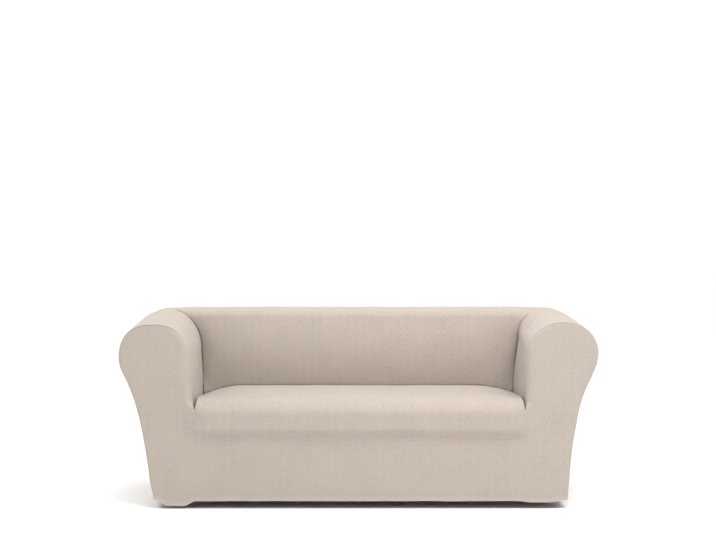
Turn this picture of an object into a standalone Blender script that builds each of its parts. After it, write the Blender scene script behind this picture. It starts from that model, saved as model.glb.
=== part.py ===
"""Fitted slipcover with rolled arms, in stretch cloth.

Seven panels, each a solid sheet of cloth in the shape that it is stretched to: seat and front
apron, inside back, outside back, two arms and two arm fronts. The panels meet edge to edge at
their seams. Beside the arms and under the inside back the cloth is tucked into a crevice.

The cover is drawn with its heights above the floor. Depth runs along +Y from the plane of the arm
fronts, and across runs along X from the middle. An empty then moves the frame to the underside of
the cover's top, at the middle of the back, because that is where what it covers holds it up.
"""

import math
from collections import namedtuple
from functools import lru_cache

import bmesh
import bpy
from mathutils import Vector

# Cloth and sewing
CLOTH_THICKNESS = 0.002
SEAM_GAP = 0.00032
TUCK_GAP = 0.0008
MOUTH_WIDTH = 0.003
MOUTH_ROUND = 0.007
MOUTH_START = 0.92
MOUTH_FADE = 0.060
MITRE_LIMIT = 1.6

# Hem: its fold, its height, how far up the cloth follows it, and where it leaves a level line
HEM_FOLD_WIDTH = 0.006
HEM_FOLD_HEIGHT = 0.020
HEM_HEIGHT = 0.0305
HEM_FOLLOW = 0.120
Dip = namedtuple("Dip", "across half_width run_out drop")
HEM_DIPS = [Dip(-0.735, 0.030, 0.052, 0.020), Dip(0.735, 0.030, 0.060, 0.005)]
HEM_CORNER_START = 0.790
HEM_CORNER_RUN = 0.035
HEM_CORNER_RISE = 0.004

# Main sizes
REAR_DEPTH = 0.830
BACK_TOP = 0.775
TOP_MIDDLE = 0.725
FRONT_ROUND = 0.009
REAR_ROUND = 0.020
CORNER_RUN = 0.120
SEAM_SHARE = 1 - math.sqrt(0.5)

# Inside back: its depth at its foot, how far it leans back, bulges forward and rounds over, and
# how it steps down at its ends where it stands higher than an arm
FACE_DEPTH = 0.565
FACE_FOOT = 0.420
FACE_LEAN = 0.038
FACE_FULLNESS = 0.024
FACE_FLATNESS = 8
TOP_ROUND = 0.040
SHOULDER_SHARE = 0.080
SHOULDER_TURN = 45

# Seat: the inside arms' reach at its rear, its drop towards them, its front corners, and the tuck
# around it, which runs straight down within a short way of the rear
REAR_REACH = 0.675
WIDENING_DEPTH = 0.500
CROWN_DROPS = (0.047, 0.036)
CROWN_START = 0.75
CROWN_POWER = 1.8
CROWN_RUN = 0.50
CORNER_START = 0.965
CORNER_DROP = 0.036
FRONT_DEPTH = 0.04
FRONT_FADE = 0.12
SIDE_INSET = 0.003
REAR_RUN = 0.050
TUCK_DEPTH = 0.040
TUCK_BOTTOM = 0.355
TUCK_STEPS = [0.4, 1.0]

# The seat's filling, which pushes the front forward between its ends, its top and its foot
CUSHION_PROUD = 0.028
CUSHION_REACH = 0.600
CUSHION_REACH_FADE = 0.120
CUSHION_TOP = 0.445
CUSHION_TOP_FADE = 0.060
CUSHION_FOOT = 0.272
CUSHION_FOOT_FADE = 0.055

# The outside arm: how far from the middle it reaches at each share of the roll's centre height
Flank = namedtuple("Flank", "share left right")
FLANK = [
    Flank(0.00, 0.8225, 0.8450),
    Flank(0.12, 0.8378, 0.8526),
    Flank(0.25, 0.8490, 0.8598),
    Flank(0.40, 0.8622, 0.8690),
    Flank(0.53, 0.8770, 0.8812),
    Flank(0.64, 0.8917, 0.8950),
    Flank(0.74, 0.9092, 0.9152),
    Flank(0.85, 0.9342, 0.9445),
    Flank(0.93, 0.9558, 0.9632),
    Flank(1.00, 0.9640, 0.9690),
]

# An arm's roll at the front: the reach and height of its centre, its half widths outward and
# inward, its rise above the centre, how square its outer and inner sides are, and how much higher
# it lies at the back. Its foot is how far out its inner side stands at the seat's front.
Arm = namedtuple("Arm", "name side reach height outward inward rise square fullness lift foot")
ARMS = [
    Arm("left", -1, 0.822, 0.607, 0.142, 0.142, 0.138, 2.45, 2.25, 0.0270, 0.659),
    Arm("right", 1, 0.830, 0.630, 0.139, 0.150, 0.1245, 2.03, 2.05, 0.0180, 0.675),
]
LIFT_DEPTH = 0.55

# The inner side of an arm's roll at the back, and how the inside arm bends below it
RearRoll = namedtuple("RearRoll", "inward rise fullness")
REAR_ROLLS = {"left": RearRoll(0.139, 0.168, 2.00), "right": RearRoll(0.130, 0.124, 2.10)}
FRONT_BEND = 3.0
REAR_BEND = 2.0
ROLL_STEPS = 5

# Heights of the rows of the front, from the hem to where the tuck beside the seat ends
FRONT_ROWS = [HEM_HEIGHT, 0.085, 0.145, 0.205, 0.250, 0.275, 0.298, 0.325, 0.362, 0.400]
TUCK_ROW = len(FRONT_ROWS) - 1
UPPER_ROWS = 5

# The columns of an arm front: the innermost one's distance from the apron, and the ones between
FACING_EDGE = 0.012
FACING_SHARES = [0.25, 0.50, 0.75]

# The seat's middle line from the back to the front, and how much of the tuck each row has
Seat = namedtuple("Seat", "depth height tuck")
SEAT = [
    Seat(FACE_DEPTH - 0.004, 0.4180, 1.00),
    Seat(0.553, 0.4330, 1.00),
    Seat(0.540, 0.4430, 1.00),
    Seat(0.520, 0.4495, 1.00),
    Seat(0.490, 0.4520, 1.00),
    Seat(0.430, 0.4520, 1.00),
    Seat(0.340, 0.4500, 1.00),
    Seat(0.240, 0.4482, 1.00),
    Seat(0.160, 0.4472, 1.00),
    Seat(0.100, 0.4460, 0.95),
    Seat(0.055, 0.4430, 0.85),
    Seat(0.025, 0.4370, 0.65),
    Seat(0.003, 0.4270, 0.35),
    Seat(-0.0125, 0.4145, 0.10),
]

# Depths of the arm's rows behind its front seam, up to the rear rounding
DEPTHS = [FRONT_ROUND, 0.03, 0.07, 0.13, 0.21, 0.30, 0.39, 0.48, 0.56]
DEPTHS += [FACE_DEPTH + FACE_LEAN + TOP_ROUND, 0.70, 0.757, REAR_DEPTH - REAR_ROUND]
CREASE = 10

# Columns across the seat and the back, as shares of the half width
HALF_COLUMNS = [0.14, 0.28, 0.42, 0.56, 0.68, 0.78, 0.86, 0.92, 0.965, 0.987, 1.0]
COLUMNS = [-share for share in reversed(HALF_COLUMNS)] + [0.0] + HALF_COLUMNS

# Stations along an arm's section, from the outer hem over the roll to the inner tuck
CENTRE = TUCK_ROW + UPPER_ROWS
TOP = CENTRE + ROLL_STEPS
BOTTOM = TOP + ROLL_STEPS + UPPER_ROWS

# How much of the crease beside the inside back each station has, from the roll's top inwards
LEFT_CREASE = [0.0, 0.0, 0.30, 0.55, 0.85]
RIGHT_CREASE = [0.0, 0.0, 0.0, 0.15, 0.75]

PANELS = ["seat_panel", "inside_back", "outside_back", "left_arm", "right_arm"]
PANELS += ["left_arm_front", "right_arm_front"]
CLOTH_COLOUR = (0.56, 0.49, 0.42, 1)
CLOTH_ROUGHNESS = 0.9
SHARP_ANGLE = 50


def clamp(value):
    return min(max(value, 0.0), 1.0)


def smooth(value):
    value = clamp(value)
    return value * value * (3 - 2 * value)


def mix(first, second, share):
    return first + (second - first) * share


def flank_reach(arm, share):
    """The outside arm's reach at a share of the roll's centre height, on a smooth curve."""
    shares = [row.share for row in FLANK]
    reaches = [getattr(row, arm.name) for row in FLANK]
    row = max(i for i in range(len(FLANK) - 1) if shares[i] <= share or i == 0)
    span = shares[row + 1] - shares[row]

    def slope(i):
        low, high = max(i - 1, 0), min(i + 1, len(FLANK) - 1)
        return 0.0 if i == high else (reaches[high] - reaches[low]) / (shares[high] - shares[low])

    t = clamp((share - shares[row]) / span)
    return (
        (2 * t**3 - 3 * t**2 + 1) * reaches[row]
        + (t**3 - 2 * t**2 + t) * span * slope(row)
        + (3 * t**2 - 2 * t**3) * reaches[row + 1]
        + (t**3 - t**2) * span * slope(row + 1)
    )


def front_hem(across):
    """Height of the front hem, lower at two places near its ends and drawn up at the corners."""
    height = HEM_HEIGHT
    height += HEM_CORNER_RISE * smooth((abs(across) - HEM_CORNER_START) / HEM_CORNER_RUN)
    for dip in HEM_DIPS:
        height -= dip.drop * (1 - smooth((abs(across - dip.across) - dip.half_width) / dip.run_out))
    return height


def follow_hem(height, hem):
    """Lets the lowest rows of a panel rise and fall with its hem."""
    return height + (hem - HEM_HEIGHT) * clamp(1 - (height - HEM_HEIGHT) / HEM_FOLLOW)


def front_depth(across, height):
    """Depth of the front: flat, but for the seat's filling that pushes it forward."""
    width = 1 - smooth((abs(across) - CUSHION_REACH) / CUSHION_REACH_FADE)
    top = smooth((CUSHION_TOP - height) / CUSHION_TOP_FADE)
    foot = smooth((height - CUSHION_FOOT) / CUSHION_FOOT_FADE)
    return -CUSHION_PROUD * width * top * foot


def face_depth(height):
    """Depth of the inside back, which leans back and rounds over at its top."""
    top = BACK_TOP - TOP_ROUND
    lean = FACE_LEAN * clamp((height - FACE_FOOT) / (top - FACE_FOOT))
    over = min(max(height - top, 0.0), TOP_ROUND)
    return FACE_DEPTH + lean + TOP_ROUND - math.sqrt(TOP_ROUND**2 - over**2)


def inner_reach(arm, depth):
    """Reach of the inside arm at the foot of the tuck, which widens a little to the back."""
    return mix(arm.foot, REAR_REACH, clamp(depth / WIDENING_DEPTH))


def tuck_foot(depth):
    """Height of the inside arm's lower edge, down in the tuck beside the seat."""
    return mix(FRONT_ROWS[TUCK_ROW], TUCK_BOTTOM, smooth(depth / CORNER_RUN))


@lru_cache(maxsize=None)
def arm_section(arm, depth):
    """The arm's section at a depth, as (across, height) at each station."""
    back = clamp(depth / LIFT_DEPTH)
    centre = arm.height + arm.lift * back
    stretch = (centre - HEM_HEIGHT) / (arm.height - HEM_HEIGHT)
    tuck_height = FRONT_ROWS[TUCK_ROW]
    upper = [mix(tuck_height, arm.height, k / UPPER_ROWS) for k in range(1, UPPER_ROWS + 1)]
    corner = mix(front_hem(arm.side * FLANK[0].left), HEM_HEIGHT, smooth(depth / CORNER_RUN))
    points = []
    for height in FRONT_ROWS + upper:
        share = (height - HEM_HEIGHT) / (arm.height - HEM_HEIGHT)
        lifted = HEM_HEIGHT + (height - HEM_HEIGHT) * stretch
        points.append((flank_reach(arm, share), follow_hem(lifted, corner)))
    turns = [math.pi / 2 * step / ROLL_STEPS for step in range(1, ROLL_STEPS + 1)]
    for turn in turns:
        reach = arm.reach + arm.outward * rounded(math.cos(turn), arm.square)
        points.append((reach, centre + arm.rise * rounded(math.sin(turn), arm.square)))
    rear = REAR_ROLLS[arm.name]
    inward, rise = mix(arm.inward, rear.inward, back), mix(arm.rise, rear.rise, back)
    fullness = mix(arm.fullness, rear.fullness, back)
    waist = centre + arm.rise - rise
    for turn in turns:
        reach = arm.reach - inward * rounded(math.sin(turn), fullness)
        points.append((reach, waist + rise * rounded(math.cos(turn), fullness)))
    for k in range(1, UPPER_ROWS + 1):
        down = k / UPPER_ROWS
        bend = mix(down**FRONT_BEND, 1 - (1 - down) ** REAR_BEND, back)
        reach = mix(arm.reach - inward, inner_reach(arm, depth), bend)
        points.append((reach, mix(waist, tuck_foot(depth), down)))
    return [Vector((arm.side * reach, height)) for reach, height in points]


def rounded(value, fullness):
    """A sine or cosine on a roll that is squarer than a circle when its fullness is over 2."""
    return max(value, 0.0) ** (2 / fullness)


def section_normal(arm, depth, station):
    """Which way the arm's section faces at a station, in its own plane."""
    section = arm_section(arm, depth)
    before, after = max(station - 1, 0), min(station + 1, BOTTOM)
    along = (section[after] - section[before]).normalized()
    return Vector((along.y, -along.x)) * arm.side


def arm_point(arm, station, depth, inset=0.0):
    """A point of the arm, or one that lies inside its section by the inset."""
    point = arm_section(arm, depth)[station]
    if inset:
        point = point - section_normal(arm, depth, station) * inset
    return Vector((point.x, depth, point.y))


def apron_edge(arm, row):
    """The seam between the apron and an arm front, at one of the front's rows."""
    across = arm.side * arm.foot
    height = follow_hem(FRONT_ROWS[row], front_hem(across))
    return Vector((across, front_depth(across, height), height))


def front_seam(arm, station):
    """The seam between an arm and its front, halfway round the rounded edge."""
    if station == BOTTOM:
        return apron_edge(arm, TUCK_ROW)
    inset = SEAM_SHARE * FRONT_ROUND
    point = arm_point(arm, station, 0.0, inset)
    return Vector((point.x, inset, point.z))


def rear_seam(arm, station):
    inset = SEAM_SHARE * REAR_ROUND
    point = arm_point(arm, station, REAR_DEPTH, inset)
    return Vector((point.x, REAR_DEPTH - inset, point.z))


def crease_share(arm, station):
    """How deep the crease beside the inside back is at a station of the inside arm."""
    shares = LEFT_CREASE if arm.name == "left" else RIGHT_CREASE
    return shares[station - TOP] if station - TOP < len(shares) else 1.0


def eased(arm, station):
    """Height of the inside back beside an arm's station, eased up to the back's own top."""
    section = arm_section(arm, REAR_DEPTH)
    turned = 90 * min((station - TOP) / ROLL_STEPS, 1.0)
    return section[station].y + (BACK_TOP - section[TOP].y) * (1 - smooth(turned / SHOULDER_TURN))


def crease_depth(arm, station):
    return face_depth(eased(arm, station))


def shoulder(share):
    """How much of the back's own height a column has: none at its ends."""
    return smooth((1 - abs(share)) / SHOULDER_SHARE)


def top_rise(share):
    """How far the top of the back stands above a line from arm to arm."""
    ends = [arm_section(arm, REAR_DEPTH)[TOP].y for arm in ARMS]
    return (BACK_TOP - mix(ends[0], ends[1], (share + 1) / 2)) * shoulder(share)


class Cover:
    """The cover's outer face as one mesh, in which each face knows its panel."""

    def __init__(self):
        self.mesh = bmesh.new()
        self.corners = {}

    def corner(self, point):
        key = tuple(round(value * 1e6) for value in point)
        if key not in self.corners:
            self.corners[key] = self.mesh.verts.new(point)
        return self.corners[key]

    def add_face(self, panel, points):
        corners = list(dict.fromkeys(self.corner(point) for point in points))
        if len(corners) > 2:
            face = self.mesh.faces.new(corners)
            face.material_index = PANELS.index(panel)

    def add_grid(self, panel, rows):
        """Faces between rows of points. Points that coincide close up to a triangle."""
        for lower, upper in zip(rows, rows[1:]):
            for quad in zip(lower, lower[1:], upper[1:], upper):
                self.add_face(panel, quad)

    def turn_in_hem(self):
        """Folds the cloth in under its lower edge and up again behind it."""
        self.mesh.normal_update()
        rims = [edge for edge in self.mesh.edges if edge.is_boundary]
        hem = [edge for edge in rims if max(end.co.z for end in edge.verts) < 2 * HEM_HEIGHT]
        inner, upper = {}, {}
        for corner in {v for edge in hem for v in edge.verts}:
            inward = Vector((corner.normal.x, corner.normal.y, 0)).normalized() * -HEM_FOLD_WIDTH
            inner[corner] = self.mesh.verts.new(corner.co + inward)
            upper[corner] = self.mesh.verts.new(inner[corner].co + Vector((0, 0, HEM_FOLD_HEIGHT)))
        for edge in hem:
            first, second = edge.verts
            panel = edge.link_faces[0].material_index
            bottom = self.mesh.faces.new((first, second, inner[second], inner[first]))
            back = self.mesh.faces.new((inner[first], inner[second], upper[second], upper[first]))
            bottom.material_index = back.material_index = panel


def sew_arm(cover, arm):
    """Outside arm, roll and inside arm: the outer part runs to the rear, the inner to the crease."""
    panel = f"{arm.name}_arm"
    outer = []
    for station in range(TOP + 1):
        row = [front_seam(arm, station)]
        row += [arm_point(arm, station, depth) for depth in DEPTHS]
        outer.append(row + [rear_seam(arm, station)])
    cover.add_grid(panel, outer)
    inner, tucked = [outer[TOP][: CREASE + 1]], []
    for station in range(TOP + 1, BOTTOM + 1):
        crease = crease_depth(arm, station)
        squeeze = (crease - FRONT_ROUND) / (DEPTHS[CREASE - 1] - FRONT_ROUND)
        depths = [FRONT_ROUND + (depth - FRONT_ROUND) * squeeze for depth in DEPTHS[:CREASE]]
        inner.append([front_seam(arm, station)] + [arm_point(arm, station, d) for d in depths])
        share = crease_share(arm, station)
        if share > 0:
            end = arm_point(arm, station, crease + TUCK_DEPTH * share)
            tucked.append([inner[-1][-1], end])
    cover.add_grid(panel, inner)
    cover.add_grid(panel, tucked)


def sew_arm_front(cover, arm):
    """The facing, in level rows between its outer and inner edges, closed at the roll's top."""
    rows = []
    for row in range(TOP + 1):
        outer = front_point(arm_point(arm, row, 0.0, FRONT_ROUND))
        if row > TUCK_ROW:
            inner = front_point(arm_point(arm, TOP * 2 - row, 0.0, FRONT_ROUND))
            inner_seam = front_seam(arm, TOP * 2 - row)
        else:
            inner_seam = apron_edge(arm, row)
            inner = front_point(inner_seam + Vector((arm.side * FACING_EDGE, 0, 0)))
        between = [front_point(mix(outer, inner, share)) for share in FACING_SHARES]
        if row == 0:
            outer, inner = at_hem(outer), at_hem(inner)
            between = [at_hem(point) for point in between]
        rows.append([front_seam(arm, row), outer, *between, inner, inner_seam])
    cover.add_grid(f"{arm.name}_arm_front", rows)


def front_point(point):
    return Vector((point.x, front_depth(point.x, point.z), point.z))


def at_hem(point):
    return Vector((point.x, point.y, front_hem(point.x)))


def sew_seat(cover):
    """Seat with its tucked sides and rear, rounded seat front and apron."""
    middle = [(seat.depth, seat.height) for seat in SEAT]
    middle.append((front_depth(0.0, FRONT_ROWS[TUCK_ROW]), FRONT_ROWS[TUCK_ROW]))
    tops, fulls = [], []
    for i, seat in enumerate(SEAT):
        before, after = middle[max(i - 1, 0)], middle[i + 1]
        run = Vector((0, after[0] - before[0], after[1] - before[1])).normalized()
        straight = smooth((seat.depth - FACE_DEPTH) / REAR_RUN + 1)
        outward = Vector((0, run.z * (1 - straight), mix(-run.y, 1.0, straight)))
        row = []
        for share in COLUMNS:
            drop = seat_drop(share, seat.depth) * seat.tuck
            point = Vector((0, seat.depth, seat.height)) - outward * drop
            point.x = share * (inner_reach(ARMS[share > 0], point.y) - SIDE_INSET)
            pulled = front_depth(point.x, point.z) - front_depth(0.0, point.z)
            point.y += pulled * (1 - seat.tuck)
            row.append(point)
        ends = []
        for arm, end in zip(ARMS, (row[0], row[-1])):
            tucks = []
            for depth in TUCK_STEPS:
                tuck = end - outward * TUCK_DEPTH * seat.tuck * depth
                if seat.tuck == 1.0:
                    tuck.z = mix(end.z, TUCK_BOTTOM, depth)
                if i == 0:
                    tuck.y = FACE_DEPTH - TUCK_GAP
                tuck.x = arm.side * (inner_reach(arm, tuck.y) - TUCK_GAP)
                tucks.append(tuck)
            ends.append(tucks)
        tops.append(row)
        fulls.append(ends[0][::-1] + row + ends[1])
    corner = fulls[0]
    rear = []
    for level, depth in enumerate(reversed(TUCK_STEPS)):
        row = []
        for point in tops[0]:
            height = mix(point.z, TUCK_BOTTOM, depth)
            row.append(Vector((point.x, FACE_DEPTH - TUCK_GAP, height)))
        row[0], row[-1] = corner[level], corner[-1 - level]
        rear.append(row)
    cover.add_grid("seat_panel", rear + [tops[0]])
    front = []
    for row in range(TUCK_ROW, -1, -1):
        points = []
        for share in COLUMNS:
            across = share * ARMS[share > 0].foot
            height = follow_hem(FRONT_ROWS[row], front_hem(across))
            points.append(Vector((across, front_depth(across, height), height)))
        front.append(points)
    left, right = front[0][0], front[0][-1]
    cover.add_grid("seat_panel", fulls + [[left, left] + front[0] + [right, right]])
    cover.add_grid("seat_panel", front)


def seat_drop(share, depth):
    """How far the seat lies below its middle line: less at the front, but for its corners."""
    side = clamp((abs(share) - CROWN_START) / (1 - CROWN_START))
    corner = clamp((abs(share) - CORNER_START) / (1 - CORNER_START))
    crown = CROWN_DROPS[share > 0] * clamp((depth - FRONT_DEPTH) / CROWN_RUN)
    front = 1 - smooth((depth - FRONT_DEPTH) / FRONT_FADE)
    return crown * side**CROWN_POWER + CORNER_DROP * (1 - math.sqrt(1 - corner**2)) * front


def sew_inside_back(cover):
    """Inside back from its tuck behind the seat, over the top, to the rear seam."""
    rows = []
    tucks = {arm: [] for arm in ARMS}
    for station in range(BOTTOM, TOP, -1):
        ends = [arm_section(arm, REAR_DEPTH)[station] for arm in ARMS]
        row = []
        for share in COLUMNS:
            crease = crease_share(ARMS[share > 0], station)
            end = ends[share > 0]
            beside = mix(ends[0].y, ends[1].y, (share + 1) / 2)
            level = mix(*(eased(arm, station) for arm in ARMS), (share + 1) / 2)
            height = mix(beside, level, shoulder(share))
            across = abs(share) * (end.x - math.copysign(MOUTH_WIDTH * crease, end.x))
            near = clamp((abs(share) - MOUTH_START) / (1 - MOUTH_START))
            rounding = MOUTH_ROUND * crease * near**2 * smooth((height - FACE_FOOT) / MOUTH_FADE)
            depth = face_depth(level) - fullness(share, height) + rounding
            row.append(Vector((across, depth, height)))
        rows.append(row)
        for arm, column in zip(ARMS, (0, -1)):
            depth, share = crease_depth(arm, station), crease_share(arm, station)
            if share == 0:
                row[column] = arm_point(arm, station, depth)
                continue
            flap = [row[column]]
            for part in TUCK_STEPS:
                flap.append(arm_point(arm, station, REAR_DEPTH, -TUCK_GAP))
                flap[-1].y = depth + TUCK_DEPTH * share * part
            tucks[arm].append(flap)
    for depth in DEPTHS[CREASE - 1 :]:
        ends = [arm_point(arm, TOP, depth) for arm in ARMS]
        rows.append(top_row(ends))
    rows.append(top_row([rear_seam(arm, TOP) for arm in ARMS]))
    cover.add_grid("inside_back", rows)
    for flaps in tucks.values():
        cover.add_grid("inside_back", flaps)


def top_row(ends):
    """A row across the top of the back, between its two ends."""
    row = []
    for share in COLUMNS:
        height = mix(ends[0].z, ends[1].z, (share + 1) / 2) + top_rise(share)
        row.append(Vector((abs(share) * ends[share > 0].x, ends[0].y, height)))
    row[0], row[-1] = ends
    return row


def fullness(share, height):
    """How far the filled back pushes the cloth forward."""
    across = 1 - abs(share) ** FACE_FLATNESS
    up = math.sin(math.pi * clamp((height - FACE_FOOT) / (BACK_TOP - FACE_FOOT)))
    return FACE_FULLNESS * across * up


def sew_outside_back(cover):
    """Outside back: a plain flat panel, rounded at its seams."""
    rings = []
    for arm in ARMS:
        ring = [arm_point(arm, station, REAR_DEPTH, REAR_ROUND) for station in range(TOP + 1)]
        rings.append(ring)
        seam = [rear_seam(arm, station) for station in range(TOP + 1)]
        cover.add_grid("outside_back", [seam, ring])
    rows = []
    for station, (first, second) in enumerate(zip(*rings)):
        rise = smooth((station - CENTRE) / ROLL_STEPS)
        row = []
        for share in COLUMNS:
            end = first if share < 0 else second
            height = mix(first.z, second.z, (share + 1) / 2) + top_rise(share) * rise
            row.append(Vector((abs(share) * end.x, REAR_DEPTH, height)))
        row[0], row[-1] = first, second
        rows.append(row)
    seam = top_row([rear_seam(arm, TOP) for arm in ARMS])
    cover.add_grid("outside_back", rows + [seam])


def seam_pull(corner, panel):
    """Moves a panel's copy of a seam point off the seam, half the gap to each side."""
    ways = []
    for edge in corner.link_edges:
        own = [face for face in edge.link_faces if face.material_index == panel]
        if len(own) != 1 or edge.is_boundary:
            continue
        way = own[0].normal.cross(edge.other_vert(corner).co - corner.co).normalized()
        if way.dot(own[0].calc_center_median() - corner.co) < 0:
            way.negate()
        ways.append(way)
    if not ways:
        return Vector()
    if len(ways) == 1:
        return ways[0] * SEAM_GAP / 2
    return (ways[0] + ways[1]) * SEAM_GAP / 2 / (1 + ways[0].dot(ways[1]))


def panel_solid(cover, name, material, parent):
    """Cuts one panel out of the cover and gives it the cloth's thickness, inwards."""
    panel = PANELS.index(name)
    faces = [face for face in cover.mesh.faces if face.material_index == panel]
    solid = bmesh.new()
    outer, inner = {}, {}
    for corner in {corner for face in faces for corner in face.verts}:
        point = corner.co + seam_pull(corner, panel)
        thickness = CLOTH_THICKNESS * min(corner.calc_shell_factor(), MITRE_LIMIT)
        outer[corner] = solid.verts.new(point)
        inner[corner] = solid.verts.new(point - corner.normal * thickness)
    for face in faces:
        solid.faces.new([outer[corner] for corner in face.verts])
        solid.faces.new([inner[corner] for corner in reversed(face.verts)])
        for edge in face.edges:
            if sum(other.material_index == panel for other in edge.link_faces) == 1:
                first, second = sorted(edge.verts, key=lambda corner: corner.index)
                solid.faces.new((outer[first], inner[first], inner[second]))
                solid.faces.new((outer[first], inner[second], outer[second]))
    bmesh.ops.recalc_face_normals(solid, faces=solid.faces)
    mesh = bpy.data.meshes.new(name)
    solid.to_mesh(mesh)
    solid.free()
    mesh.materials.append(material)
    mesh.shade_smooth()
    mesh.set_sharp_from_angle(angle=math.radians(SHARP_ANGLE))
    panel_object = bpy.data.objects.new(name, mesh)
    panel_object.parent = parent
    bpy.context.scene.collection.objects.link(panel_object)


def cloth_material(name):
    material = bpy.data.materials.new(name)
    material.use_nodes = True
    shader = material.node_tree.nodes["Principled BSDF"]
    shader.inputs["Base Color"].default_value = CLOTH_COLOUR
    shader.inputs["Roughness"].default_value = CLOTH_ROUGHNESS
    shader.inputs["Metallic"].default_value = 0.0
    return material


def main():
    for old in list(bpy.data.objects):
        bpy.data.objects.remove(old)
    cover = Cover()
    for arm in ARMS:
        sew_arm(cover, arm)
        sew_arm_front(cover, arm)
    sew_seat(cover)
    sew_inside_back(cover)
    sew_outside_back(cover)
    bmesh.ops.recalc_face_normals(cover.mesh, faces=cover.mesh.faces)
    cover.turn_in_hem()
    bmesh.ops.recalc_face_normals(cover.mesh, faces=cover.mesh.faces)
    cover.mesh.normal_update()
    cover.mesh.verts.index_update()
    top = bpy.data.objects.new("cover_top", None)
    top.location = (0.0, -TOP_MIDDLE, CLOTH_THICKNESS - BACK_TOP)
    bpy.context.scene.collection.objects.link(top)
    for name in PANELS:
        panel_solid(cover, name, cloth_material(f"{name}_cloth"), top)
    cover.mesh.free()


main()
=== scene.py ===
"""Fitted sofa slipcover with rolled arms, in beige herringbone stretch cloth.

The panels are drawn in the shape that they are stretched to, with their heights above the floor and
their depths behind the arm fronts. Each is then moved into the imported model's frame.
"""

import math
from collections import namedtuple

import bpy
import numpy as np
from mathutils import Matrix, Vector


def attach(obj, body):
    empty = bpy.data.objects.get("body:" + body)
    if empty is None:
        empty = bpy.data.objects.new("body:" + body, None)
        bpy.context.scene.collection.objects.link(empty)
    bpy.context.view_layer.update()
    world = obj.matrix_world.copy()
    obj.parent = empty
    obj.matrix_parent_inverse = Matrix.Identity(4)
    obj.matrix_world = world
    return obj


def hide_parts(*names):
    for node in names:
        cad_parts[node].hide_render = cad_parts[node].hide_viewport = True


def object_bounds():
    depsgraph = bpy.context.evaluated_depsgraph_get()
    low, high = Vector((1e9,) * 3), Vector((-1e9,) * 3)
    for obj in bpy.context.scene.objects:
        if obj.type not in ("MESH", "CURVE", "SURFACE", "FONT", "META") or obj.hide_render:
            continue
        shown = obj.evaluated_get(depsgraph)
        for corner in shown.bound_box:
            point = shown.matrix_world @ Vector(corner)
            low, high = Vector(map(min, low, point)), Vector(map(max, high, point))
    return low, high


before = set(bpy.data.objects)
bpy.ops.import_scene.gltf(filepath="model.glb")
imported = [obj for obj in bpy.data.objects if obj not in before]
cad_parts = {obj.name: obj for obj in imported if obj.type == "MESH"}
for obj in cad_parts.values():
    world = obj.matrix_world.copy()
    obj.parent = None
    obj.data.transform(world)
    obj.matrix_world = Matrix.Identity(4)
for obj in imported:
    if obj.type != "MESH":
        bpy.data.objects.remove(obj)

cad_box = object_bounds()

# ---- Arms -------------------------------------------------------------------------------------
# Outside arm, roll and inside arm are one panel of knitted stretch cloth in two beige yarns, whose
# herringbone runs in upright columns. Its front edge is sewn to the arm front and its rear edge to
# the outside back. Outside it ends in a hem, inside it is tucked down beside the seat.

CLOTH_THICKNESS = 0.002
CLOTH_FINISH = {
    "Roughness": 0.92,
    "Specular IOR Level": 0.25,
    "Sheen Weight": 0.20,
    "Sheen Roughness": 0.45,
    "Sheen Tint": (0.91, 0.85, 0.80, 1),
}

# The herringbone's upright columns, its slanting ridges, and the small stitches of the knit
COLUMN_WIDTH = 0.038
RIDGE_PITCH = 0.0078
RIDGE_SLOPE = 0.70
RIDGE_HEIGHT = 0.0007
STITCH_PITCH = 0.0021
STITCH_HEIGHT = 0.00018

# Spots where the yarns lie unevenly: how many there are to a metre, and how broken their edges are
Spots = namedtuple("Spots", "per_metre detail")
MOTTLE = Spots(9.0, 3.0)
SLUB = Spots(160.0, 2.0)
CLOUD = Spots(11.0, 2.0)
SPOTS_MIDDLE = 0.5

# The ridges show a little all over, and much more in patches, which begin where the cloud is dense
PATCH_START = 0.53
PATCH_RUN = 0.14
RIDGE_RAISED = 0.4
RIDGE_PATCH_RAISED = 0.9
BUMP_STRENGTH = 0.8

# The two yarns' colours, the light one's share in an even mix, and how far each feature shifts it
DARK_YARN = (0.160, 0.137, 0.118, 1)
LIGHT_YARN = (0.566, 0.490, 0.430, 1)
EVEN_MIX = 0.5
RIDGE_TONE = 0.08
RIDGE_PATCH_TONE = 0.42
LEAN_TONE = 0.008
STITCH_TONE = 0.02
MOTTLE_TONE = 0.08
SLUB_TONE = 0.26

# A seam lies in a groove. Painted shade darkens it, the creases and the seat's contact lines.
# A painted highlight lightens the hem's folded edge.
SEAM_HALF_WIDTH = 0.0028
SEAM_DEPTH = 0.0008
PAINTED_LINE_SHADE = (0.150, 0.122, 0.100, 1)
PAINTED_LINE_SHADE_SHARE = 0.6
HEM_PAINTED_HIGHLIGHT_WIDTH = 0.008
HEM_PAINTED_HIGHLIGHT = (0.560, 0.500, 0.450, 1)
HEM_PAINTED_HIGHLIGHT_SHARE = 0.5


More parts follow.
